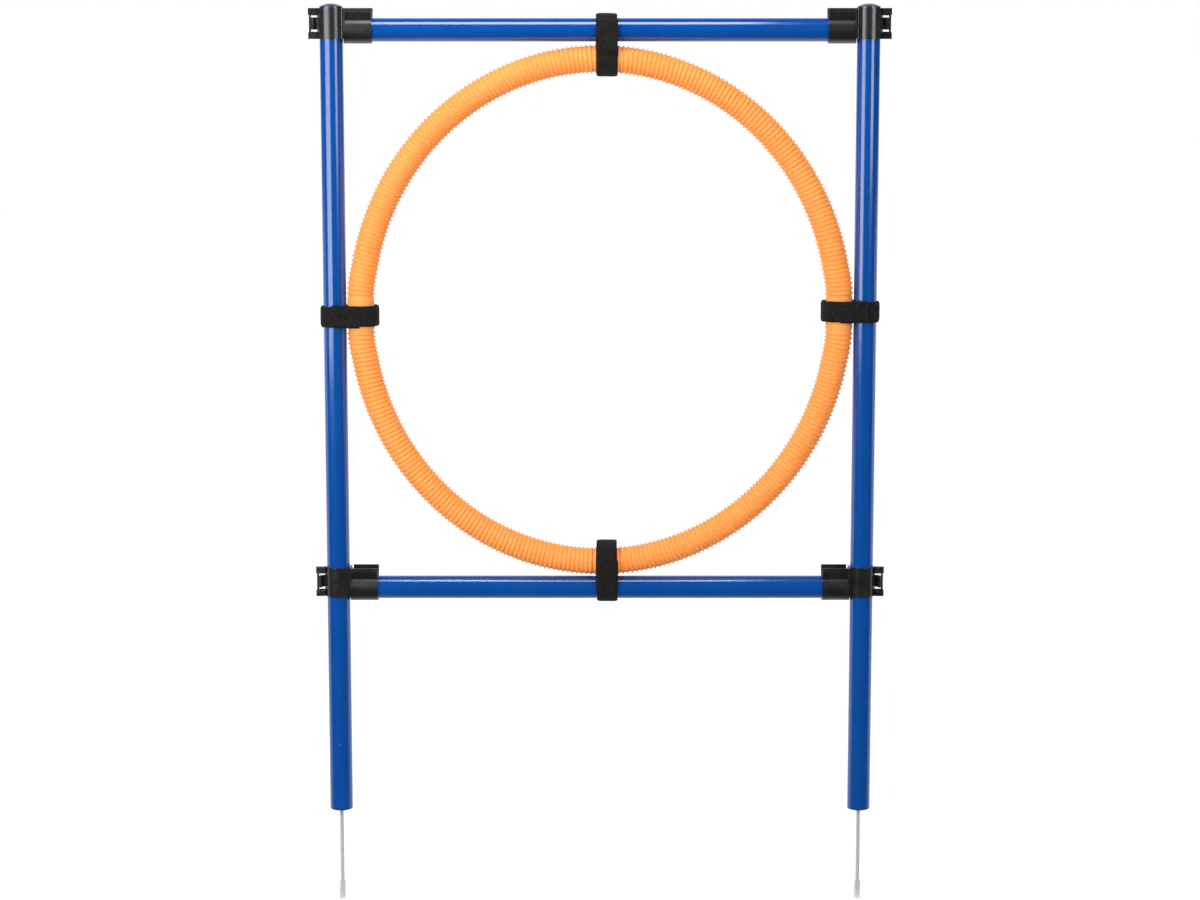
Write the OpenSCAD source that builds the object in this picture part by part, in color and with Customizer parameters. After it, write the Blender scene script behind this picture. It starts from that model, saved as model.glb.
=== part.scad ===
// Agility ring jump: two staked posts, two clamped cross bars and a ribbed hose ring in straps.
// Millimetres. X runs across the jump, Y away from the viewer, Z up.
// The origin is midway between the posts, on the ground line under their feet.

/* [Posts and bars] */
// Outside diameter of the posts and the cross bars
tube_d = 30; // [26:0.5:34]
// Wall thickness of the posts and the cross bars
tube_wall = 1.8; // [1.2:0.1:3]
// Height of the posts' top ends above the ground
post_top = 1059; // [950:1:1250]
// Height of the domed cap above the end of its post
cap_h = 6; // [3:0.5:10]
// Length of the stem that holds a cap or a plug inside a tube
plug_stem = 14; // [8:1:24]
// Thickness of a plug's flange
plug_flange = 1.4; // [0.8:0.1:2.5]
// Length of the insert that holds the spike inside the post's foot
insert_len = 100; // [60:1:140]
// Height of the punched dimple that locks the insert
dimple_z = 91; // [30:1:95]
// Diameter of that dimple
dimple_d = 3.4; // [2:0.1:5]

/* [Spikes] */
// Diameter of the steel ground spike
spike_d = 5; // [4:0.5:8]
// Length of spike below the ground line, without its guard
spike_len = 122; // [80:1:180]
// Length of the spike's point
spike_point = 16; // [6:1:24]
// Depth that the spike is held inside the insert
spike_grip = 60; // [30:1:90]
// Outside diameter of the soft sleeve that guards the point
guard_d = 8.5; // [8:0.1:14]
// Length of the guard sleeve
guard_len = 24; // [20:1:40]
// Thickness of the guard's closed end
guard_end = 2.5; // [1:0.1:4]

/* [Hose ring] */
// Width of the ring over its ribs
ring_w = 661; // [600:1:760]
// Height of the ring over its ribs
ring_h = 695; // [620:1:800]
// Diameter of the hose over its ribs
hose_d = 37; // [32:0.5:40]
// Height of a rib above the hose wall between ribs
rib_h = 2.5; // [1:0.1:3.5]
// Ribs on each half hose
rib_count = 96; // [24:1:100]
// Outside diameter of the smooth cuffs at the hose ends
cuff_d = 35; // [31:0.5:38]
// Length of each smooth, straight cuff
cuff_len = 29; // [24:1:45]
// Bore of the hose
hose_bore = 28; // [22:0.5:28]
// Wall of the coupler sleeve inside the cuffs
coupler_wall = 2; // [1:0.1:4]
// Length of the coupler sleeve
coupler_len = 50; // [30:1:56]
// Gap between the ring and each post
ring_side_gap = 0.5; // [0.5:0.1:8]
// Gap between the ring and the upper bar
ring_top_gap = 3.6; // [1:0.1:12]
// Gap between the ring and the lower bar
ring_bottom_gap = 1.2; // [1:0.1:12]

/* [Clamps] */
// Height of the clamp above the bar's axis
clamp_above = 27.7; // [26:0.1:34]
// Depth of the clamp's band below the bar's axis
clamp_below = 11.7; // [8:0.1:16]
// Wall of the band round the post
band_wall = 1.5; // [1.2:0.1:2.4]
// Length of the snap clip that holds the bar
clip_len = 36; // [24:0.5:60]
// Wall of the snap clip
clip_wall = 2.5; // [1.6:0.1:4]
// Clear width of the clip's mouth, where the bar snaps in
clip_mouth = 19.2; // [16:0.1:24]
// Width across the flared lips over the mouth
lip_span = 31.2; // [28:0.1:36]
// Thickness of the flared lips
lip_wall = 2.2; // [1.4:0.1:3]
// Height of the upright part of the lips
lip_rise = 5.7; // [3:0.1:8]
// Thickness of the wall that closes the clip at the post
end_wall = 2.5; // [1.5:0.1:5]
// Gap between the post and the clip's end wall
end_gap = 1.5; // [1:0.1:3]
// Radius of the hinge bead on the latch
bead_r = 1.5; // [1.2:0.1:1.7]
// Wall of the socket round the hinge bead
socket_wall = 1.15; // [0.8:0.05:1.5]

/* [Latch] */
// Angle that the latch swings open
latch_swing = 80; // [40:5:80]
// Reach of the latch frame beyond the post
latch_reach = 13.3; // [12:0.1:18]
// Thickness of the latch frame
latch_t = 2.4; // [1.8:0.1:3]
// Width of the latch frame's outer bar
latch_bar = 2.6; // [1.8:0.1:4]
// Height of the latch window
window_h = 20.6; // [14:0.1:24]
// Height of the catch tongue inside the window
tongue_h = 15.6; // [8:0.1:18]
// Thickness of the catch tongue's hook
hook_t = 3.3; // [2.4:0.1:4]
// Reach of the hook in front of the latch frame
hook_reach = 3.6; // [2:0.1:5]
// Number of catch teeth on the hook
hook_teeth = 3; // [2:1:4]
// Thickness of the finger pads
pad_t = 4.3; // [3:0.1:6]
// Number of grip ridges on each finger pad
pad_ridges = 5; // [3:1:7]
// Height of a grip ridge
ridge_h = 0.6; // [0.3:0.1:1]

/* [Straps] */
// Width of the hook and loop straps
strap_w = 27; // [16:0.5:38]
// Thickness of one strap layer
strap_t = 2.5; // [1.5:0.1:4]
// Sideways place of the upper and lower straps
strap_x = 9; // [-40:1:40]
// Height of the left strap above the hose joint
left_strap_dz = -3; // [-8:1:8]
// Height of the right strap above the hose joint
right_strap_dz = 3; // [-8:1:8]
// How far a strap's slack end stands off
strap_slack = 3.6; // [1:0.1:8]
// How far a strap's tight end stands off
strap_ease = 1.2; // [0.4:0.1:3]
// How far the lower strap stands off above the ring
lower_slack = 7.5; // [2:0.1:12]

/* [Fits] */
// Radial clearance of a tube in a clip or a band, and of a plug in a tube
fit = 0.05; // [0.02:0.01:0.09]
// Clearance between pieces that face each other
face_gap = 0.3; // [0.2:0.05:0.6]

/* [Hidden] */

$fn = 64;
eps = 0.01;

tube_r = tube_d / 2;
tube_bore_r = tube_r - tube_wall;
stem_r = tube_bore_r - fit;
spike_r = spike_d / 2;
hose_r = hose_d / 2;
cuff_r = cuff_d / 2;

// The ring sets how far apart the posts and the bars stand
post_x = ring_w / 2 + ring_side_gap + tube_r;
upper_bar_z = post_top - clamp_above;
lower_bar_z = upper_bar_z - ring_h - ring_top_gap - ring_bottom_gap - tube_d;
ring_z = lower_bar_z + tube_r + ring_bottom_gap + ring_h / 2;
ring_a = ring_w / 2 - hose_r;
ring_b = ring_h / 2 - hose_r;

// Clamp, in its own frame: the post's axis is Z and the bar's axis is -X
bore_r = tube_r + fit;
band_r = bore_r + band_wall;
band_h = clamp_above + clamp_below;
band_mid = (clamp_above - clamp_below) / 2;
clip_r = bore_r + clip_wall;
clip_x = tube_r + end_gap;
clip_end_x = clip_x + clip_len;
bar_stop_x = clip_x + end_wall;
neck_y = 8;
neck_len = 4;
band_end = 212;

// Bead hinge of the latch, in the groove between the band and the clip
socket_r = bead_r + fit + socket_wall;
hinge_inset = 1.3;
hinge_drop = 2.8;
hinge_x = -(clip_x - hinge_inset);
hinge_y = -(tube_r - hinge_drop);
latch_start = 232;
web_t = 1.5;
web_end = polar(bore_r + band_wall / 2, latch_start + 3);
web_run = web_end - [hinge_x, hinge_y];
web_angle = atan2(web_run[1], web_run[0]);
web_half_angle = asin(web_t / 2 / bead_r);
socket_open_from = web_angle - latch_swing - web_half_angle - 4;
socket_open_to = web_angle + web_half_angle + 9;

// Latch frame and catch
latch_x = tube_r + latch_reach;
window_x0 = band_r + 1;
window_x1 = latch_x - latch_bar;
hook_x1 = window_x1 - 0.9;
tooth_h = 0.6;
hook_y0 = -(face_gap + latch_t);
hook_y1 = hook_y0 - hook_reach;
pad_z0 = window_h / 2 + 0.9;
pad_h = band_h / 2 - pad_z0;

// Bars and their plugs
bar_half = post_x - bar_stop_x - face_gap - plug_flange;

function polar(r, a) = [r * cos(a), r * sin(a)];

// Pie slice from angle a0 to a1, for cutting round profiles
module slice(r, a0, a1) {
    steps = ceil((a1 - a0) / 30);
    rim = [for (i = [0 : steps]) polar(r, a0 + (a1 - a0) * i / steps)];
    polygon(concat([[0, 0]], rim));
}

module tube_section(r_out, r_in) {
    difference() {
        circle(r = r_out);
        circle(r = r_in);
    }
}

// Posts, caps and feet

module post(side, dimple_side) {
    color("#0a58b4")
    translate([side * post_x, 0, 0])
    difference() {
        translate([0, 0, plug_flange])
        linear_extrude(post_top - plug_flange) tube_section(tube_r, tube_bore_r);
        translate([0, dimple_side * (tube_r + dimple_d * 0.4), dimple_z])
        sphere(d = dimple_d * 1.28);
    }
}

module cap_profile() {
    rim_h = cap_h * 0.36;
    dome_h = cap_h - rim_h;
    shoulder_r = tube_r - 0.6;
    dome_r = (shoulder_r * shoulder_r + dome_h * dome_h) / (2 * dome_h);
    translate([0, -plug_stem]) square([stem_r, plug_stem]);
    square([tube_r - 0.3, rim_h]);
    translate([0, 0.4]) square([tube_r, rim_h - 0.8]);
    intersection() {
        translate([0, cap_h - dome_r]) circle(r = dome_r, $fn = 128);
        translate([0, rim_h - eps]) square([shoulder_r, dome_h + 1]);
    }
}

module post_cap(side) {
    color("#2c3550")
    translate([side * post_x, 0, post_top])
    difference() {
        rotate_extrude() cap_profile();
        translate([0, 0, -plug_stem - 1]) cylinder(r = stem_r - 2, h = plug_stem);
    }
}

// Moulded insert: a flange, a core round the spike and four webs between two rings
module foot_insert(side) {
    ring_len = 12;
    core_r = spike_r + 3.5;
    color("#20242c")
    translate([side * post_x, 0, 0])
    difference() {
        union() {
            rotate_extrude()
            polygon([[0, 0], [tube_r - 1.4, 0], [tube_r - 0.4, 0.7],
                     [tube_r - 0.4, plug_flange], [0, plug_flange]]);
            cylinder(r = stem_r, h = plug_flange + ring_len);
            cylinder(r = core_r, h = insert_len);
            translate([0, 0, insert_len - ring_len]) cylinder(r = stem_r, h = ring_len);
            intersection() {
                cylinder(r = stem_r, h = insert_len);
                for (turn = [0, 90]) {
                    rotate(turn) translate([-tube_r, -1, 0]) cube([tube_d, 2, insert_len]);
                }
            }
        }
        translate([0, 0, -1]) cylinder(r = spike_r + fit, h = spike_grip + 1 + face_gap);
    }
}

module spike(side) {
    color("#b9bdb8")
    translate([side * post_x, 0, 0])
    rotate_extrude()
    polygon([[0, spike_grip], [spike_r - 0.4, spike_grip], [spike_r, spike_grip - 0.4],
             [spike_r, spike_point - spike_len], [0.35, -spike_len], [0, -spike_len]]);
}

module spike_guard(side) {
    guard_r = guard_d / 2;
    bottom = -spike_len - face_gap - guard_end;
    top = bottom + guard_len;
    color([0.82, 0.84, 0.82, 0.6])
    translate([side * post_x, 0, 0])
    difference() {
        rotate_extrude()
        polygon([[0, bottom], [guard_r - 1, bottom], [guard_r - 0.2, bottom + 1],
                 [guard_r - 0.35, top - 2.2], [guard_r, top - 2], [guard_r, top - 0.3],
                 [guard_r - 0.3, top], [0, top]]);
        translate([0, 0, bottom + guard_end]) cylinder(r = spike_r + fit, h = guard_len);
    }
}

// Cross bars

module bar(z) {
    color("#0a58b4")
    translate([-bar_half, 0, z])
    rotate([0, 90, 0])
    linear_extrude(2 * bar_half) tube_section(tube_r, tube_bore_r);
}

module bar_plug() {
    rotate([0, 90, 0])
    difference() {
        rotate_extrude()
        polygon([[0, -plug_stem], [stem_r, -plug_stem], [stem_r, 0], [tube_r - 0.2, 0],
                 [tube_r - 0.2, plug_flange - 0.5], [tube_r - 0.7, plug_flange], [0, plug_flange]]);
        translate([0, 0, -plug_stem - 1]) cylinder(r = stem_r - 2, h = plug_stem);
    }
}

module bar_plugs(z) {
    color("#20242c")
    for (side = [0, 1]) {
        translate([0, 0, z]) mirror([side, 0, 0]) translate([bar_half, 0, 0]) bar_plug();
    }
}

// Clamps, drawn for the right-hand post and mirrored for the left

// One flared lip over the clip's mouth: [y, z] from the throat to the lip's rounded edge
module lip_profile() {
    half = clip_mouth / 2;
    outer = lip_span / 2;
    inner = outer - lip_wall;
    throat_z = sqrt(bore_r * bore_r - half * half);
    bend_z = clamp_above - lip_rise;
    edge_r = lip_wall / 2;
    polygon([[half, throat_z], [half, throat_z + 2.4], [inner, bend_z + 0.5],
             [inner, clamp_above - edge_r], [outer, clamp_above - edge_r],
             [outer, bend_z - 0.2], [half + lip_wall + 0.6, throat_z + 1.4]]);
    translate([outer - edge_r, clamp_above - edge_r]) circle(r = edge_r);
}

// Snap clip section, open at the top: [y, z] round the bar's axis
module clip_profile() {
    difference() {
        tube_section(clip_r, bore_r);
        translate([-clip_mouth / 2, 0]) square([clip_mouth, clip_r + 1]);
    }
    for (side = [0, 1]) {
        mirror([side, 0]) lip_profile();
    }
}

// Wall that closes the clip next to the post, cut back behind the rear lip
module end_wall_profile() {
    half = lip_span / 2;
    circle(r = clip_r);
    translate([-half, 0]) square([half, clamp_above - lip_wall / 2]);
}

// Stands a [y, z] profile along the bar, from x0 to x1 on the side away from the post
module along_bar(x0, x1) {
    translate([-x1, 0, 0]) rotate([90, 0, 90]) linear_extrude(x1 - x0) children();
}

module socket_profile() {
    translate([hinge_x, hinge_y])
    difference() {
        circle(r = socket_r);
        slice(socket_r * 2, socket_open_from, socket_open_to);
    }
}

module clamp_band_profile() {
    difference() {
        union() {
            circle(r = band_r);
            translate([-clip_x - 1, -neck_y]) square([neck_len + 2, 2 * neck_y]);
        }
        circle(r = bore_r);
        slice(band_r * 2, band_end, 360);
        translate([0, -band_r]) square([band_r * 2, band_r + face_gap]);
    }
    socket_profile();
}

// Catch tongue, [x, y]: an arm behind the latch frame and a toothed hook through its window
module tongue_profile() {
    y_back = face_gap + latch_t;
    teeth_from = hook_y0 - 0.3;
    pitch = (teeth_from - hook_y1 - 0.6) / hook_teeth;
    teeth = [for (i = [0 : hook_teeth - 1], p = [[0, 0], [tooth_h, -0.25 * pitch], [0, -pitch]])
        [hook_x1 + p[0], teeth_from - i * pitch + p[1]]];
    difference() {
        translate([bore_r - 1, face_gap]) square([hook_x1 - bore_r + 1, latch_t]);
        circle(r = bore_r);
    }
    polygon(concat(
        [[hook_x1 - hook_t, y_back], [hook_x1, y_back]],
        teeth,
        [[hook_x1 - 0.8, hook_y1], [hook_x1 - hook_t + 0.8, hook_y1],
         [hook_x1 - hook_t, hook_y1 + 1]]
    ));
}

module clamp_shape() {
    difference() {
        union() {
            translate([0, 0, -clamp_below]) linear_extrude(band_h) clamp_band_profile();
            along_bar(clip_x, bar_stop_x) end_wall_profile();
        }
        translate([hinge_x, hinge_y, -2 * clip_r]) cylinder(r = bead_r + fit, h = 4 * clip_r);
    }
    translate([0, 0, band_mid - tongue_h / 2]) linear_extrude(tongue_h) tongue_profile();
    along_bar(bar_stop_x - eps, clip_end_x) clip_profile();
}

// Front half of the band with its hinge bead and web
module latch_band_profile() {
    difference() {
        union() {
            intersection() {
                tube_section(band_r, bore_r);
                slice(band_r * 2, latch_start, 360);
                translate([-band_r, -2 * band_r - face_gap]) square([3 * band_r, 2 * band_r]);
            }
            translate([hinge_x, hinge_y]) circle(r = bead_r);
            translate([hinge_x, hinge_y]) rotate(web_angle)
            translate([0, -web_t / 2]) square([norm(web_run), web_t]);
        }
        circle(r = bore_r);
    }
}

// Latch frame, [x, z] about the band's middle
module latch_frame_profile() {
    corner = 1.2;
    difference() {
        union() {
            translate([bore_r, -band_h / 2]) square([latch_x - bore_r - corner, band_h]);
            translate([bore_r, -band_h / 2 + corner]) square([latch_x - bore_r, band_h - 2 * corner]);
            for (end = [-1, 1]) {
                translate([latch_x - corner, end * (band_h / 2 - corner)]) circle(r = corner);
            }
        }
        translate([window_x0, -window_h / 2]) square([window_x1 - window_x0, window_h]);
    }
}

// Finger pad section, [y, z], with grip ridges on its front
module pad_profile() {
    pitch = pad_h / pad_ridges;
    front = -(face_gap + pad_t);
    ridges = [for (i = [0 : pad_ridges - 1], p = [[0, 0.15], [-ridge_h, 0.5], [0, 0.85]])
        [front + p[0], pad_z0 + (i + p[1]) * pitch]];
    polygon(concat(
        [[-face_gap, pad_z0], [front, pad_z0]],
        ridges,
        [[front, pad_z0 + pad_h], [-face_gap, pad_z0 + pad_h]]
    ));
}

module finger_pad() {
    x0 = band_r + 1.4;
    x1 = latch_x + 0.9;
    translate([x0, 0, 0]) rotate([90, 0, 90]) linear_extrude(x1 - x0) pad_profile();
}

module latch_shape() {
    translate([0, 0, -clamp_below]) linear_extrude(band_h) latch_band_profile();
    translate([0, 0, band_mid]) {
        difference() {
            translate([0, -face_gap, 0]) rotate([90, 0, 0]) linear_extrude(latch_t) latch_frame_profile();
            cylinder(r = bore_r, h = 2 * band_h, center = true);
        }
        for (side = [0, 1]) {
            mirror([0, 0, side]) finger_pad();
        }
    }
}

// Places a right-hand shape at a post: side 1 is the right post, side -1 the left
module at_post(side, z) {
    translate([side * post_x, 0, z]) mirror([(1 - side) / 2, 0, 0]) children();
}

module clamp(side, z) {
    color("#1c1c1e") at_post(side, z) clamp_shape();
}

module latch(side, z) {
    color("#242426") at_post(side, z) latch_shape();
}

// Half hose: straight cuffs and a ribbed half ellipse between them, swept in the XZ plane

hose_sides = 8;
bore_rings = 24;
arc_b = ring_b - cuff_len;
valley_r = hose_r - rib_h;
cuff_ramp = 2;

// A ring of the sweep is [centre x, centre z, direction of its outward side, radius]
function arc_ring(a, r) =
    [ring_a * cos(a), cuff_len + arc_b * sin(a), atan2(ring_a * sin(a), arc_b * cos(a)), r];
function end_ring(side, z, r) = [side * ring_a, z, side > 0 ? 0 : 180, r];

function ring_points(ring) = [for (j = [0 : hose_sides - 1])
    let (out = ring[3] * cos(360 * j / hose_sides), across = ring[3] * sin(360 * j / hose_sides))
    [ring[0] + out * cos(ring[2]), across, ring[1] + out * sin(ring[2])]];

outer_rings = concat(
    [end_ring(1, face_gap / 2, cuff_r), end_ring(1, cuff_len - cuff_ramp, cuff_r)],
    [for (i = [0 : 2 * rib_count]) arc_ring(90 * i / rib_count, i % 2 == 0 ? valley_r : hose_r)],
    [end_ring(-1, cuff_len - cuff_ramp, cuff_r), end_ring(-1, face_gap / 2, cuff_r)]
);
inner_rings = concat(
    [end_ring(1, face_gap / 2, hose_bore / 2)],
    [for (i = [0 : bore_rings]) arc_ring(180 * i / bore_rings, hose_bore / 2)],
    [end_ring(-1, face_gap / 2, hose_bore / 2)]
);

// Two triangles for each side between two neighbouring rings of points
function band_faces(first, second) = [for (j = [0 : hose_sides - 1], half = [0, 1])
    let (k = (j + 1) % hose_sides)
    half == 0 ? [first + j, first + k, second + k] : [first + j, second + k, second + j]];

module half_hose() {
    outer_n = len(outer_rings);
    inner_n = len(inner_rings);
    rings = concat(outer_rings, inner_rings);
    points = [for (ring = rings) each ring_points(ring)];
    inner_at = outer_n * hose_sides;
    outer_last = (outer_n - 1) * hose_sides;
    inner_last = inner_at + (inner_n - 1) * hose_sides;
    faces = concat(
        [for (i = [0 : outer_n - 2]) each band_faces(i * hose_sides, (i + 1) * hose_sides)],
        [for (i = [0 : inner_n - 2])
            each band_faces(inner_at + (i + 1) * hose_sides, inner_at + i * hose_sides)],
        band_faces(inner_at, 0),
        band_faces(outer_last, inner_last)
    );
    polyhedron(points = points, faces = faces, convexity = 8);
}

module hose(upper) {
    color("#ff9b4b")
    translate([0, 0, ring_z]) mirror([0, 0, upper ? 0 : 1]) half_hose();
}

module hose_coupler(side) {
    coupler_r = hose_bore / 2 * cos(180 / hose_sides) - 0.15;
    color("#d8d8d4")
    translate([side * ring_a, 0, ring_z - coupler_len / 2])
    linear_extrude(coupler_len) tube_section(coupler_r, coupler_r - coupler_wall);
}

// Straps

// Where each strap's second layer runs, as shares of the way from the tube to the hose
top_lap = [-0.32, 0.8];
bottom_lap = [0.15, 1.5];
side_lap = [0.06, 1.4];

// Belt outline round two circles on the Y axis, at y0 and y1. Its straight runs lie a hair inside
// the tangents, so that they cross the circles cleanly
module belt(r0, y0, r1, y1) {
    tuck = 0.05;
    lean = (r0 - r1) / (y1 - y0);
    side = sqrt(1 - lean * lean);
    s0 = r0 - tuck;
    s1 = r1 - tuck;
    translate([0, y0]) circle(r = r0);
    translate([0, y1]) circle(r = r1);
    polygon([[s0 * side, y0 + s0 * lean], [s1 * side, y1 + s1 * lean],
             [-s1 * side, y1 + s1 * lean], [-s0 * side, y0 + s0 * lean]]);
}

// Loop round a tube at the origin and a hose at y = run. Its second layer lies on the -X side,
// between the two given shares of the run
module strap_profile(tube_slack, hose_rad, run, hose_slack, lap) {
    r0 = tube_r + face_gap;
    r1 = hose_rad + face_gap;
    y0 = -tube_slack;
    y1 = run + hose_slack;
    difference() {
        union() {
            belt(r0 + strap_t, y0, r1 + strap_t, y1);
            intersection() {
                belt(r0 + 2 * strap_t, y0, r1 + 2 * strap_t, y1);
                translate([-hose_d, lap[0] * run]) square([hose_d, (lap[1] - lap[0]) * run]);
            }
        }
        belt(r0, y0, r1, y1);
    }
}

// Strap round a bar: the profile's X becomes Y and its Y points to the ring
module bar_strap(z, to_ring, tube_slack, hose_slack, lap) {
    run = tube_r + (to_ring < 0 ? ring_top_gap : ring_bottom_gap) + hose_r;
    color("#262424")
    translate([strap_x - strap_w / 2, 0, z])
    mirror([0, 0, to_ring < 0 ? 1 : 0])
    rotate([90, 0, 90])
    linear_extrude(strap_w) strap_profile(tube_slack, hose_r, run, hose_slack, lap);
}

// Strap round a post: the profile's Y points to the ring
module post_strap(side, dz) {
    color("#262424")
    translate([side * post_x, 0, ring_z + dz - strap_w / 2])
    mirror([side > 0 ? 0 : 1, 0, 0])
    rotate(90) mirror([1, 0, 0])
    linear_extrude(strap_w)
    strap_profile(strap_ease, cuff_r, post_x - ring_a, strap_slack, side_lap);
}

post(-1, -1);  // left_post
post(1, 1);  // right_post
post_cap(-1);  // left_post_cap
post_cap(1);  // right_post_cap
foot_insert(-1);  // left_foot_insert
foot_insert(1);  // right_foot_insert
spike(-1);  // left_spike
spike(1);  // right_spike
spike_guard(-1);  // left_spike_guard
spike_guard(1);  // right_spike_guard
bar(upper_bar_z);  // upper_bar
bar(lower_bar_z);  // lower_bar
bar_plugs(upper_bar_z);  // upper_bar_plugs
bar_plugs(lower_bar_z);  // lower_bar_plugs
clamp(-1, upper_bar_z);  // upper_left_clamp
clamp(1, upper_bar_z);  // upper_right_clamp
clamp(-1, lower_bar_z);  // lower_left_clamp
clamp(1, lower_bar_z);  // lower_right_clamp
latch(-1, upper_bar_z);  // upper_left_latch
latch(1, upper_bar_z);  // upper_right_latch
latch(-1, lower_bar_z);  // lower_left_latch
latch(1, lower_bar_z);  // lower_right_latch
hose(true);  // upper_hose
hose(false);  // lower_hose
hose_coupler(-1);  // left_hose_coupler
hose_coupler(1);  // right_hose_coupler
bar_strap(upper_bar_z, -1, strap_slack, strap_ease, top_lap);  // top_strap
bar_strap(lower_bar_z, 1, strap_ease, lower_slack, bottom_lap);  // bottom_strap
post_strap(-1, left_strap_dz);  // left_strap
post_strap(1, right_strap_dz);  // right_strap
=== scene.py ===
import math
import random

import bpy
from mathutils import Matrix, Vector, noise


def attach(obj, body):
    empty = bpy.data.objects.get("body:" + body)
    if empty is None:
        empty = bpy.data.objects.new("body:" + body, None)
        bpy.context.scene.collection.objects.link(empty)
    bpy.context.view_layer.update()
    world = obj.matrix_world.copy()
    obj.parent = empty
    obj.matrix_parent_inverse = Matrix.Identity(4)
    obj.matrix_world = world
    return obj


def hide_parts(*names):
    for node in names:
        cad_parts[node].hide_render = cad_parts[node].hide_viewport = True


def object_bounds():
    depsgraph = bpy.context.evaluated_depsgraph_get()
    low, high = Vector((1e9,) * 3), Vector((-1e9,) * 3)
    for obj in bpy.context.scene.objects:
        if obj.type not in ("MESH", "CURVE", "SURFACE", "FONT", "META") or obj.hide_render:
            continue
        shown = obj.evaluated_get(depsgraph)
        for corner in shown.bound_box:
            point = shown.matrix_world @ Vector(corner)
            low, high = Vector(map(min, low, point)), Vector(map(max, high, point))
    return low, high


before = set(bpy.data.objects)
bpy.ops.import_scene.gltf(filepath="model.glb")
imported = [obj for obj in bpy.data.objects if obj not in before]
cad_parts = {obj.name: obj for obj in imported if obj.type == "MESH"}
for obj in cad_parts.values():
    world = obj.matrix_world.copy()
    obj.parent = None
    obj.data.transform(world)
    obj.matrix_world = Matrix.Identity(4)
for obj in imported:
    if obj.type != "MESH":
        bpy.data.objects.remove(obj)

cad_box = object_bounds()
scene = bpy.context.scene

# Sizes shared with the CAD model, in metres
TUBE_R = 0.015
POST_X = 0.346
UPPER_BAR_Z = 1.0313
LOWER_BAR_Z = 0.3015
RING_Z = 0.6652
RING_A = 0.312
RING_B = 0.329
CUFF_LEN = 0.029
CUFF_R = 0.0175
HOSE_R = 0.0185
BORE_R = 0.014
STRAP_W = 0.027
STRAP_T = 0.0025
STRAP_X = 0.009
FACE_GAP = 0.0003

# Sizes of the scene's own detail, in metres
STRAIGHT = 0.012  # height from a joint over which the ring runs straight
RUN_IN = 0.05  # height over which it then bends into the ellipse
VALLEY_R = 0.0164  # hose wall between two ribs
RIB_PITCHES = 163  # between a half's cuffs; one more rib stands on the end of each cuff
HOSE_SIDES = 56
BORE_STEPS = 64
ARC_STEPS = 4000
GUARD_DROP = 0.031  # depth of the floor under the spike guards, just more than they pull off by

# The band in which most values of a noise texture lie
NOISE_LOW, NOISE_HIGH = 0.3, 0.7


# Node helpers

def new_material(name):
    mat = bpy.data.materials.new(name)
    mat.use_nodes = True
    tree = mat.node_tree
    tree.nodes.clear()
    out = tree.nodes.new("ShaderNodeOutputMaterial")
    bsdf = tree.nodes.new("ShaderNodeBsdfPrincipled")
    tree.links.new(bsdf.outputs["BSDF"], out.inputs["Surface"])
    return mat, tree, bsdf


def add(tree, kind, **settings):
    node = tree.nodes.new(kind)
    for key, value in settings.items():
        setattr(node, key, value)
    return node


def object_coords(tree, scale=(1, 1, 1)):
    coord = add(tree, "ShaderNodeTexCoord")
    mapping = add(tree, "ShaderNodeMapping")
    mapping.inputs["Scale"].default_value = scale
    tree.links.new(coord.outputs["Object"], mapping.inputs["Vector"])
    return mapping.outputs["Vector"]


def noise_tex(tree, vector, scale, detail=3.0, rough=0.55):
    tex = add(tree, "ShaderNodeTexNoise")
    tex.inputs["Scale"].default_value = scale
    tex.inputs["Detail"].default_value = detail
    tex.inputs["Roughness"].default_value = rough
    tree.links.new(vector, tex.inputs["Vector"])
    return tex.outputs["Fac"]


def remap(tree, value, low, high, to_low, to_high):
    node = add(tree, "ShaderNodeMapRange")
    node.inputs["From Min"].default_value = low
    node.inputs["From Max"].default_value = high
    node.inputs["To Min"].default_value = to_low
    node.inputs["To Max"].default_value = to_high
    tree.links.new(value, node.inputs["Value"])
    return node.outputs["Result"]


def ramp(tree, value, stops):
    node = add(tree, "ShaderNodeValToRGB")
    elements = node.color_ramp.elements
    while len(elements) < len(stops):
        elements.new(0.5)
    for element, (pos, colour) in zip(elements, stops):
        element.position = pos
        element.color = (*colour, 1)
    tree.links.new(value, node.inputs["Fac"])
    return node.outputs["Color"]


def noise_range(tree, value, to_low, to_high):
    """Spreads a noise value's usual band over to_low to to_high."""
    return remap(tree, value, NOISE_LOW, NOISE_HIGH, to_low, to_high)


def noise_colour(tree, value, dark, light):
    """Colour that runs from dark to light over a noise value's usual band."""
    return ramp(tree, value, [(NOISE_LOW, dark), (NOISE_HIGH, light)])


def bump(tree, bsdf, heights, unit):
    """Chains height fields into the shader's normal. heights lists (value, height in units)."""
    normal = None
    for value, height in heights:
        node = add(tree, "ShaderNodeBump")
        node.inputs["Distance"].default_value = height * unit
        tree.links.new(value, node.inputs["Height"])
        if normal is not None:
            tree.links.new(normal, node.inputs["Normal"])
        normal = node.outputs["Normal"]
    tree.links.new(normal, bsdf.inputs["Normal"])


# Materials

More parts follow.
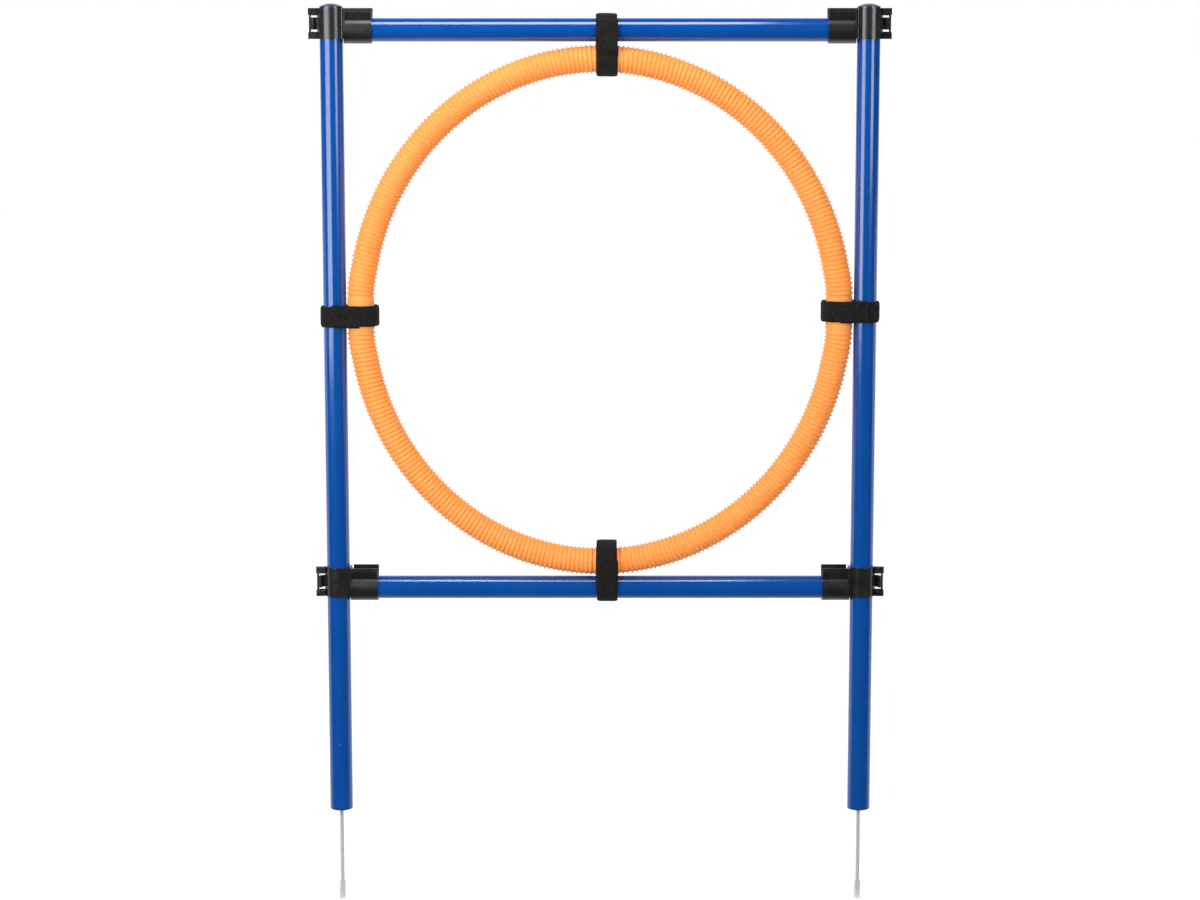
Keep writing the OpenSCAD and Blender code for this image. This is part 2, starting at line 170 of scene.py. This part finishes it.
def tube_material(name, stretch):
    """Glossy extruded blue plastic. stretch scales the streaks: fine across, long along."""
    mat, tree, bsdf = new_material(name)
    streaks = noise_tex(tree, object_coords(tree, stretch), 1.0, 2.0)
    clouds = noise_tex(tree, object_coords(tree), 14.0, 3.0)
    specks = noise_tex(tree, object_coords(tree), 420.0, 2.0)
    colour = noise_colour(tree, clouds, (0.0002, 0.059, 0.290), (0.0004, 0.067, 0.317))
    tree.links.new(colour, bsdf.inputs["Base Color"])
    tree.links.new(noise_range(tree, streaks, 0.12, 0.17), bsdf.inputs["Roughness"])
    bsdf.inputs["IOR"].default_value = 1.72
    bump(tree, bsdf, [(streaks, 1.0), (specks, 0.4)], 0.000004)
    return mat


def moulded_material(name, colour, rough, ior=1.5, grain=0.00003):
    """Moulded plastic with slightly cloudy colour and gloss and a fine grain."""
    mat, tree, bsdf = new_material(name)
    clouds = noise_tex(tree, object_coords(tree), 60.0, 4.0)
    fine = noise_tex(tree, object_coords(tree), 1400.0, 2.0)
    dark = tuple(c * 0.8 for c in colour)
    light = tuple(c * 1.25 for c in colour)
    gloss = noise_range(tree, clouds, rough * 0.85, rough * 1.2)
    tree.links.new(noise_colour(tree, clouds, dark, light), bsdf.inputs["Base Color"])
    tree.links.new(gloss, bsdf.inputs["Roughness"])
    bsdf.inputs["IOR"].default_value = ior
    bump(tree, bsdf, [(clouds, 2.0), (fine, 1.0)], grain)
    return mat


def steel_material():
    """Dull galvanised wire, drawn along Z."""
    mat, tree, bsdf = new_material("spike_steel")
    spangle = add(tree, "ShaderNodeTexVoronoi")
    spangle.inputs["Scale"].default_value = 900.0
    tree.links.new(object_coords(tree, (1, 1, 0.35)), spangle.inputs["Vector"])
    drawn = noise_tex(tree, object_coords(tree, (900, 900, 25)), 1.0, 3.0)
    zinc = [(0.1, (0.56, 0.59, 0.55)), (0.8, (0.70, 0.73, 0.69))]
    colour = ramp(tree, spangle.outputs["Distance"], zinc)
    tree.links.new(colour, bsdf.inputs["Base Color"])
    bsdf.inputs["Metallic"].default_value = 0.35
    tree.links.new(noise_range(tree, drawn, 0.35, 0.5), bsdf.inputs["Roughness"])
    bump(tree, bsdf, [(drawn, 1.0)], 0.00003)
    return mat


def guard_material():
    """Hazy see-through soft plastic."""
    mat, tree, bsdf = new_material("clear_guard")
    haze = noise_tex(tree, object_coords(tree), 300.0, 3.0)
    colour = noise_colour(tree, haze, (0.78, 0.8, 0.78), (0.9, 0.91, 0.9))
    tree.links.new(colour, bsdf.inputs["Base Color"])
    tree.links.new(noise_range(tree, haze, 0.25, 0.45), bsdf.inputs["Roughness"])
    bsdf.inputs["Transmission Weight"].default_value = 0.75
    bsdf.inputs["IOR"].default_value = 1.42
    bump(tree, bsdf, [(haze, 1.0)], 0.00005)
    return mat


def hose_material():
    """Satin orange plastic. Its ribs are in the mesh."""
    mat, tree, bsdf = new_material("orange_hose")
    clouds = noise_tex(tree, object_coords(tree), 22.0, 3.0)
    fine = noise_tex(tree, object_coords(tree), 900.0, 2.0)
    colour = noise_colour(tree, clouds, (1.0, 0.348, 0.075), (1.0, 0.376, 0.089))
    tree.links.new(colour, bsdf.inputs["Base Color"])
    tree.links.new(noise_range(tree, fine, 0.42, 0.52), bsdf.inputs["Roughness"])
    bsdf.inputs["Specular IOR Level"].default_value = 0.25
    bump(tree, bsdf, [(clouds, 2.0), (fine, 1.0)], 0.00001)
    return mat


def strap_material():
    """Napped black webbing."""
    mat, tree, bsdf = new_material("black_strap")
    vector = object_coords(tree)
    nap = noise_tex(tree, vector, 1100.0, 4.0, 0.7)
    tufts = noise_tex(tree, vector, 260.0, 3.0)
    colour = noise_colour(tree, tufts, (0.006, 0.0057, 0.0053), (0.015, 0.014, 0.0131))
    tree.links.new(colour, bsdf.inputs["Base Color"])
    bsdf.inputs["Roughness"].default_value = 0.95
    bsdf.inputs["Specular IOR Level"].default_value = 0.15
    bsdf.inputs["Sheen Weight"].default_value = 0.06
    bsdf.inputs["Sheen Roughness"].default_value = 0.5
    bump(tree, bsdf, [(tufts, 1.0), (nap, 0.6)], 0.0006)
    return mat


STREAKS_ACROSS, STREAKS_ALONG = 700, 4
GLOSSY_IOR = 1.7
POLISHED_GRAIN = 0.000012

post_blue = tube_material("blue_tube_post", (STREAKS_ACROSS, STREAKS_ACROSS, STREAKS_ALONG))
bar_blue = tube_material("blue_tube_bar", (STREAKS_ALONG, STREAKS_ACROSS, STREAKS_ACROSS))
clamp_black = moulded_material(
    "black_clamp", (0.012, 0.0118, 0.0125), 0.30, GLOSSY_IOR, POLISHED_GRAIN)
latch_black = moulded_material(
    "black_latch", (0.013, 0.0128, 0.0135), 0.26, GLOSSY_IOR, POLISHED_GRAIN)
cap_navy = moulded_material("navy_cap", (0.024, 0.034, 0.070), 0.2, GLOSSY_IOR, 0.00001)
plug_dark = moulded_material("dark_plug", (0.012, 0.014, 0.018), 0.4)
coupler_pale = moulded_material("pale_coupler", (0.66, 0.66, 0.62), 0.45)
steel = steel_material()
guard_clear = guard_material()
hose_orange = hose_material()
strap_black = strap_material()

NODE_MATERIALS = {
    "left_post": post_blue, "right_post": post_blue,
    "upper_bar": bar_blue, "lower_bar": bar_blue,
    "left_post_cap": cap_navy, "right_post_cap": cap_navy,
    "left_foot_insert": plug_dark, "right_foot_insert": plug_dark,
    "upper_bar_plugs": plug_dark, "lower_bar_plugs": plug_dark,
    "left_spike": steel, "right_spike": steel,
    "left_spike_guard": guard_clear, "right_spike_guard": guard_clear,
    "left_hose_coupler": coupler_pale, "right_hose_coupler": coupler_pale,
}
for place in ("upper_left", "upper_right", "lower_left", "lower_right"):
    NODE_MATERIALS[place + "_clamp"] = clamp_black
    NODE_MATERIALS[place + "_latch"] = latch_black

for node, material in NODE_MATERIALS.items():
    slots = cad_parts[node].material_slots
    for index in range(len(slots)):
        slots[index].material = material


# Mesh helpers

def make_object(name, verts, faces, material, smooth=True):
    mesh = bpy.data.meshes.new(name)
    mesh.from_pydata(verts, [], faces)
    mesh.update()
    obj = bpy.data.objects.new(name, mesh)
    scene.collection.objects.link(obj)
    mesh.materials.append(material)
    for poly in mesh.polygons:
        poly.use_smooth = smooth
    return obj


def bridge(faces, first, second, count):
    """Adds the quads between two closed rings of count points that start at first and second."""
    for j in range(count):
        k = (j + 1) % count
        faces.append((first + j, first + k, second + k, second + j))


# Hose

def arc_point(t):
    """Centre of the upper half, t from 0 to pi: an ellipse that runs straight into the joints."""
    x, z = RING_A * math.cos(t), RING_B * math.sin(t)
    f = min(1.0, max(0.0, (z - STRAIGHT) / RUN_IN))
    in_by = (RING_A - abs(x)) * f * f * (3 - 2 * f)
    return math.copysign(RING_A - in_by, x), z


def arc_table():
    """Lengths from the first joint at even steps of t."""
    lengths = [0.0]
    last = arc_point(0.0)
    for i in range(ARC_STEPS):
        point = arc_point(math.pi * (i + 1) / ARC_STEPS)
        lengths.append(lengths[-1] + math.dist(last, point))
        last = point
    return lengths


ARC_LENGTHS = arc_table()
HALF_ARC = ARC_LENGTHS[-1]


def angle_at(length):
    """The t of arc_point at a length from the first joint."""
    low, high = 0, len(ARC_LENGTHS) - 1
    while high - low > 1:
        mid = (low + high) // 2
        if ARC_LENGTHS[mid] <= length:
            low = mid
        else:
            high = mid
    part = (length - ARC_LENGTHS[low]) / (ARC_LENGTHS[high] - ARC_LENGTHS[low])
    return math.pi * (low + part) / (len(ARC_LENGTHS) - 1)


def hose_centre(t, upper):
    """Centre point and outward direction in the XZ plane."""
    sign = 1 if upper else -1
    nudge = 1e-4
    x, z = arc_point(t)
    before, after = arc_point(max(0.0, t - nudge)), arc_point(min(math.pi, t + nudge))
    nx, nz = after[1] - before[1], before[0] - after[0]
    length = math.hypot(nx, nz)
    return (x, sign * z), (nx / length, sign * nz / length)


def hose_profile():
    """(length from the first joint, radius) pairs: cuff, ribs, cuff."""
    pitch = (HALF_ARC - 2 * CUFF_LEN) / RIB_PITCHES
    rib_start = CUFF_LEN - pitch
    face = FACE_GAP / 2
    chamfer = 0.0004
    groove_depth, groove_half = 0.0004, 0.0009
    cuff = [(face, CUFF_R - chamfer), (face + chamfer, CUFF_R)]
    for i in range(4):
        groove = 0.0045 + i * 0.0038
        cuff += [(groove - groove_half, CUFF_R), (groove, CUFF_R - groove_depth),
                 (groove + groove_half, CUFF_R)]
    # the cuff's shoulder down to the ribs
    cuff += [(rib_start - 0.0042, CUFF_R), (rib_start - 0.0030, CUFF_R - 0.0003),
             (rib_start - 0.0016, VALLEY_R)]
    # half a rib: (distance from its crest, radius)
    half = [(0.0019, VALLEY_R), (0.0013, VALLEY_R + 0.0002), (0.0009, VALLEY_R + 0.0008),
            (0.0006, HOSE_R - 0.0006), (0.0003, HOSE_R)]
    shape = [(-d, r) for d, r in half] + [(d, r) for d, r in reversed(half)]
    crests = [rib_start + (i + 0.5) * pitch for i in range(RIB_PITCHES + 2)]
    ribs = [(crest + d, r) for crest in crests for d, r in shape]
    return cuff + ribs + [(HALF_ARC - length, r) for length, r in reversed(cuff)]


def build_hose(node, upper):
    """One half of the ring: outer skin, bore and the two end faces."""
    verts, faces = [], []

    def ring(t, radius):
        (cx, cz), (nx, nz) = hose_centre(t, upper)
        start = len(verts)
        for j in range(HOSE_SIDES):
            a = 2 * math.pi * j / HOSE_SIDES
            out, across = radius * math.cos(a), radius * math.sin(a)
            verts.append((cx + out * nx, across, RING_Z + cz + out * nz))
        return start

    outer = [ring(angle_at(length), r) for length, r in hose_profile()]
    face = FACE_GAP / 2
    bore = [face + (HALF_ARC - 2 * face) * i / BORE_STEPS for i in range(BORE_STEPS + 1)]
    inner = [ring(angle_at(length), BORE_R) for length in bore]
    for a, b in zip(outer, outer[1:]):
        bridge(faces, a, b, HOSE_SIDES)
    for a, b in zip(inner, inner[1:]):
        bridge(faces, b, a, HOSE_SIDES)
    bridge(faces, inner[0], outer[0], HOSE_SIDES)
    bridge(faces, outer[-1], inner[-1], HOSE_SIDES)
    if not upper:
        faces = [tuple(reversed(f)) for f in faces]
    obj = make_object("ribbed_" + node, verts, faces, hose_orange)
    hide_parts(node)
    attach(obj, "ring_carriage")


build_hose("upper_hose", True)
build_hose("lower_hose", False)


# Straps

def belt_point(r0, y0, r1, y1, t):
    """Point and outward normal on the belt round two circles on the Y axis.

    t runs from 0 to 1, anticlockwise from the start of the first circle's right side.
    """
    alpha = math.asin((r0 - r1) / (y1 - y0))
    run = (y1 - y0) * math.cos(alpha)
    far_arc = r1 * (math.pi - 2 * alpha)
    total = 2 * run + far_arc + r0 * (math.pi + 2 * alpha)
    d = (t % 1.0) * total

    def on_circle(r, y, a):
        return r * math.cos(a), y + r * math.sin(a)

    def on_tangent(first, second, f):
        return first[0] + (second[0] - first[0]) * f, first[1] + (second[1] - first[1]) * f

    if d < run:
        a = alpha
        point = on_tangent(on_circle(r0, y0, a), on_circle(r1, y1, a), d / run)
    elif d < run + far_arc:
        a = alpha + (d - run) / r1
        point = on_circle(r1, y1, a)
    elif d < 2 * run + far_arc:
        a = math.pi - alpha
        point = on_tangent(on_circle(r1, y1, a), on_circle(r0, y0, a), (d - run - far_arc) / run)
    else:
        a = math.pi - alpha + (d - 2 * run - far_arc) / r0
        point = on_circle(r0, y0, a)
    return point, (math.cos(a), math.sin(a)), total


def strap_section():
    """Points (across, out) round the strap's section, with rounded edges and a crowned outside."""
    half_w, t_half = STRAP_W / 2, STRAP_T / 2
    edge = 0.0010
    soft = 0.0045
    fall = 0.0013
    section = []
    for side in (1, -1):
        for k in range(7):
            a = -math.pi / 2 + math.pi * k / 6
            across = half_w - edge + edge * math.cos(a)
            section.append((side * across, side * t_half * math.sin(a)))
        for k in range(1, 16):
            section.append((side * (half_w - edge) * (1 - k / 8.0), side * t_half))
    points = []
    for across, out in section:
        f = max(0.0, (abs(across) - (half_w - soft)) / soft)
        if out > 0:
            out -= fall * f * f * out / t_half
        points.append((across, out))
    return points


STRAP_STEPS = 260
LIFT_LEN = 0.006  # length over which the outer end climbs onto the inner end
LIFT_GAP = 0.00006
END_LEN = 0.0012  # length over which a cut end thins out, to this share of the thickness
END_SHARE = 0.35
NAP_SCALE, NAP_HEIGHT = 120, 0.00022
EDGE_SCALE, EDGE_WAVE = 60, 0.0005


def strap_mesh(node, place, tube_slack, hose_rad, run, hose_slack, start, overlap, skew, seed):
    """A ribbon wound once round tube and hose, with its outer end lapped over its inner end.

    place turns (x, y, across) of the loop's plane into a point of the row frame. start is where the
    inner end lies on the loop, overlap how far the outer end runs past it, both as shares of the
    loop. skew is how far the strap wanders sideways from its inner to its outer end.
    """
    rng = random.Random(seed)
    shift = Vector((rng.random() * 50, rng.random() * 50, rng.random() * 50))
    r0 = TUBE_R + FACE_GAP
    r1 = hose_rad + FACE_GAP
    y0, y1 = -tube_slack, run + hose_slack
    total = belt_point(r0, y0, r1, y1, 0.0)[2]
    section = strap_section()
    length = 1.0 + overlap
    verts, faces, rings = [], [], []
    for i in range(STRAP_STEPS + 1):
        u = i / STRAP_STEPS
        t = start + u * length
        (px, py), (nx, ny), _ = belt_point(r0, y0, r1, y1, t)
        from_start = u * length * total
        past = from_start - total
        w = min(1.0, max(0.0, (past + LIFT_LEN) / LIFT_LEN))
        lift = (STRAP_T + LIFT_GAP) * w * w * (3 - 2 * w)
        end_d = min(from_start, length * total - from_start)
        thin = min(1.0, END_SHARE + end_d / END_LEN)
        rings.append(len(verts))
        for across, out in section:
            o = STRAP_T / 2 + lift + out * thin
            at_nap = Vector((across * NAP_SCALE, t * total * NAP_SCALE, out * 200))
            at_edge = Vector((t * total * EDGE_SCALE, across * 5, 3.0))
            o += noise.noise(at_nap + shift) * NAP_HEIGHT
            spread = 1 + noise.noise(at_edge + shift) * EDGE_WAVE / (STRAP_W / 2)
            sideways = across * spread + skew * (u - 0.6)
            verts.append(place(px + nx * o, py + ny * o, sideways))
    for a, b in zip(rings, rings[1:]):
        bridge(faces, a, b, len(section))
    faces.append(tuple(reversed(range(rings[0], rings[0] + len(section)))))
    faces.append(tuple(range(rings[-1], rings[-1] + len(section))))
    obj = make_object(node.replace("strap", "hook_loop_strap"), verts, faces, strap_black)
    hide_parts(node)
    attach(obj, "ring_carriage")


# Slack of a strap past the tube or the hose, and the runs from tube to hose, as in the CAD model
STRAP_SLACK = 0.0036
STRAP_EASE = 0.0012
LOWER_SLACK = 0.0075
TOP_RUN = 0.0371
BOTTOM_RUN = 0.0347
SIDE_RUN = POST_X - RING_A
SIDE_SHIFT = 0.003

strap_mesh("top_strap",
           lambda x, y, w: (STRAP_X + w, x, UPPER_BAR_Z - y),
           STRAP_SLACK, HOSE_R, TOP_RUN, STRAP_EASE, 0.60, 0.20, 0.0016, 1)
strap_mesh("bottom_strap",
           lambda x, y, w: (STRAP_X + w, x, LOWER_BAR_Z + y),
           STRAP_EASE, HOSE_R, BOTTOM_RUN, LOWER_SLACK, 0.55, 0.22, -0.0022, 2)
strap_mesh("left_strap",
           lambda x, y, w: (-POST_X + y, x, RING_Z - SIDE_SHIFT + w),
           STRAP_EASE, CUFF_R, SIDE_RUN, STRAP_SLACK, 0.55, 0.2, 0.0026, 3)
strap_mesh("right_strap",
           lambda x, y, w: (POST_X - y, x, RING_Z + SIDE_SHIFT + w),
           STRAP_EASE, CUFF_R, SIDE_RUN, STRAP_SLACK, 0.55, 0.2, 0.0018, 4)


# Stage, light and camera

WHITE = (1, 1, 1, 1)
FLOOR_HALF = 15.0


def build_floor():
    """White to the camera; in reflections it is white behind the object and dim in front of it.

    It lies low enough for the spike guards to stay in sight when they are pulled off.
    """
    z = cad_box[0][2] - GUARD_DROP
    mat, tree, bsdf = new_material("pale_floor")
    bsdf.inputs["Base Color"].default_value = (0.65, 0.65, 0.65, 1)
    bsdf.inputs["Roughness"].default_value = 0.9
    out = tree.nodes["Material Output"]
    glow = add(tree, "ShaderNodeEmission")
    glow.inputs["Color"].default_value = WHITE
    glow.inputs["Strength"].default_value = 0.94
    matte = add(tree, "ShaderNodeBsdfDiffuse")
    matte.inputs["Color"].default_value = (0.16, 0.16, 0.16, 1)
    seen = add(tree, "ShaderNodeAddShader")
    tree.links.new(glow.outputs[0], seen.inputs[0])
    tree.links.new(matte.outputs[0], seen.inputs[1])
    coord = add(tree, "ShaderNodeTexCoord")
    split = add(tree, "ShaderNodeSeparateXYZ")
    tree.links.new(coord.outputs["Object"], split.inputs[0])
    mirror = add(tree, "ShaderNodeEmission")
    mirror.inputs["Color"].default_value = WHITE
    brightness = remap(tree, split.outputs["Y"], -0.2, 0.4, 0.02, 1.0)
    tree.links.new(brightness, mirror.inputs["Strength"])
    by_ray(tree, bsdf, mirror, seen, out)
    corners = [(x * FLOOR_HALF, y * FLOOR_HALF, z) for x, y in ((-1, -1), (1, -1), (1, 1), (-1, 1))]
    make_object("floor", corners, [(0, 1, 2, 3)], mat, False)


def by_ray(tree, lighting, reflected, seen, out):
    """Surface from three shaders: one lights the object, one is reflected, one is seen."""
    path = add(tree, "ShaderNodeLightPath")
    direct = add(tree, "ShaderNodeMath", operation="MAXIMUM")
    tree.links.new(path.outputs["Is Camera Ray"], direct.inputs[0])
    tree.links.new(path.outputs["Is Transmission Ray"], direct.inputs[1])
    gloss = add(tree, "ShaderNodeMixShader")
    tree.links.new(path.outputs["Is Glossy Ray"], gloss.inputs[0])
    tree.links.new(lighting.outputs[0], gloss.inputs[1])
    tree.links.new(reflected.outputs[0], gloss.inputs[2])
    mix = add(tree, "ShaderNodeMixShader")
    tree.links.new(direct.outputs[0], mix.inputs[0])
    tree.links.new(gloss.outputs[0], mix.inputs[1])
    tree.links.new(seen.outputs[0], mix.inputs[2])
    tree.links.new(mix.outputs[0], out.inputs["Surface"])


def from_front(tree, front, back, begin):
    """World strength by direction: front on the viewer's side (-Y), up to back from begin on."""
    coord = add(tree, "ShaderNodeTexCoord")
    split = add(tree, "ShaderNodeSeparateXYZ")
    tree.links.new(coord.outputs["Generated"], split.inputs[0])
    result = remap(tree, split.outputs["Y"], begin, 0.95, front, back)
    result.node.interpolation_type = "SMOOTHSTEP"
    return result


def build_world():
    """A white studio cove behind the object and a dim room in front, as in the photograph."""
    world = bpy.data.worlds.new("studio")
    scene.world = world
    world.use_nodes = True
    tree = world.node_tree
    tree.nodes.clear()
    out = add(tree, "ShaderNodeOutputWorld")
    fill = add(tree, "ShaderNodeBackground")
    tree.links.new(from_front(tree, 0.42, 1.35, 0.1), fill.inputs["Strength"])
    cove = add(tree, "ShaderNodeBackground")
    tree.links.new(from_front(tree, 0.03, 1.0, 0.45), cove.inputs["Strength"])
    white = add(tree, "ShaderNodeBackground")
    white.inputs["Strength"].default_value = 1.0
    for node in (fill, cove, white):
        node.inputs["Color"].default_value = WHITE
    by_ray(tree, fill, cove, white, out)


def add_softbox(name, place, target, width, height, power):
    lamp = bpy.data.lights.new(name, "AREA")
    lamp.shape = "RECTANGLE"
    lamp.size = width
    lamp.size_y = height
    lamp.energy = power
    obj = bpy.data.objects.new(name, lamp)
    scene.collection.objects.link(obj)
    obj.location = place
    obj.rotation_euler = (Vector(target) - Vector(place)).to_track_quat("-Z", "Y").to_euler()


def build_camera():
    """The photograph's view, fitted to the posts, bars and ring."""
    cam = bpy.data.cameras.new("camera")
    cam.sensor_width = 36.0
    cam.sensor_fit = "HORIZONTAL"
    cam.lens = 85.32
    cam.clip_end = 100.0
    obj = bpy.data.objects.new("camera", cam)
    scene.collection.objects.link(obj)
    tilt_down = 8.4
    obj.location = (0.0, -3.70, 1.031)
    obj.rotation_euler = (math.radians(90 - tilt_down), 0.0, 0.0)
    scene.camera = obj


build_floor()
build_world()
add_softbox("left_softbox", (-1.33, -1.30, 1.36), (0.0, 0.0, 1.36), 1.30, 1.9, 36.0)
add_softbox("right_softbox", (2.05, -2.08, 1.56), (0.0, 0.0, 1.56), 1.20, 1.68, 30.0)
add_softbox("top_softbox", (-0.075, -0.46, 2.10), (-0.075, -0.46, 0.0), 0.70, 0.55, 10.0)
build_camera()

scene.view_settings.view_transform = "Standard"

bpy.context.view_layer.update()
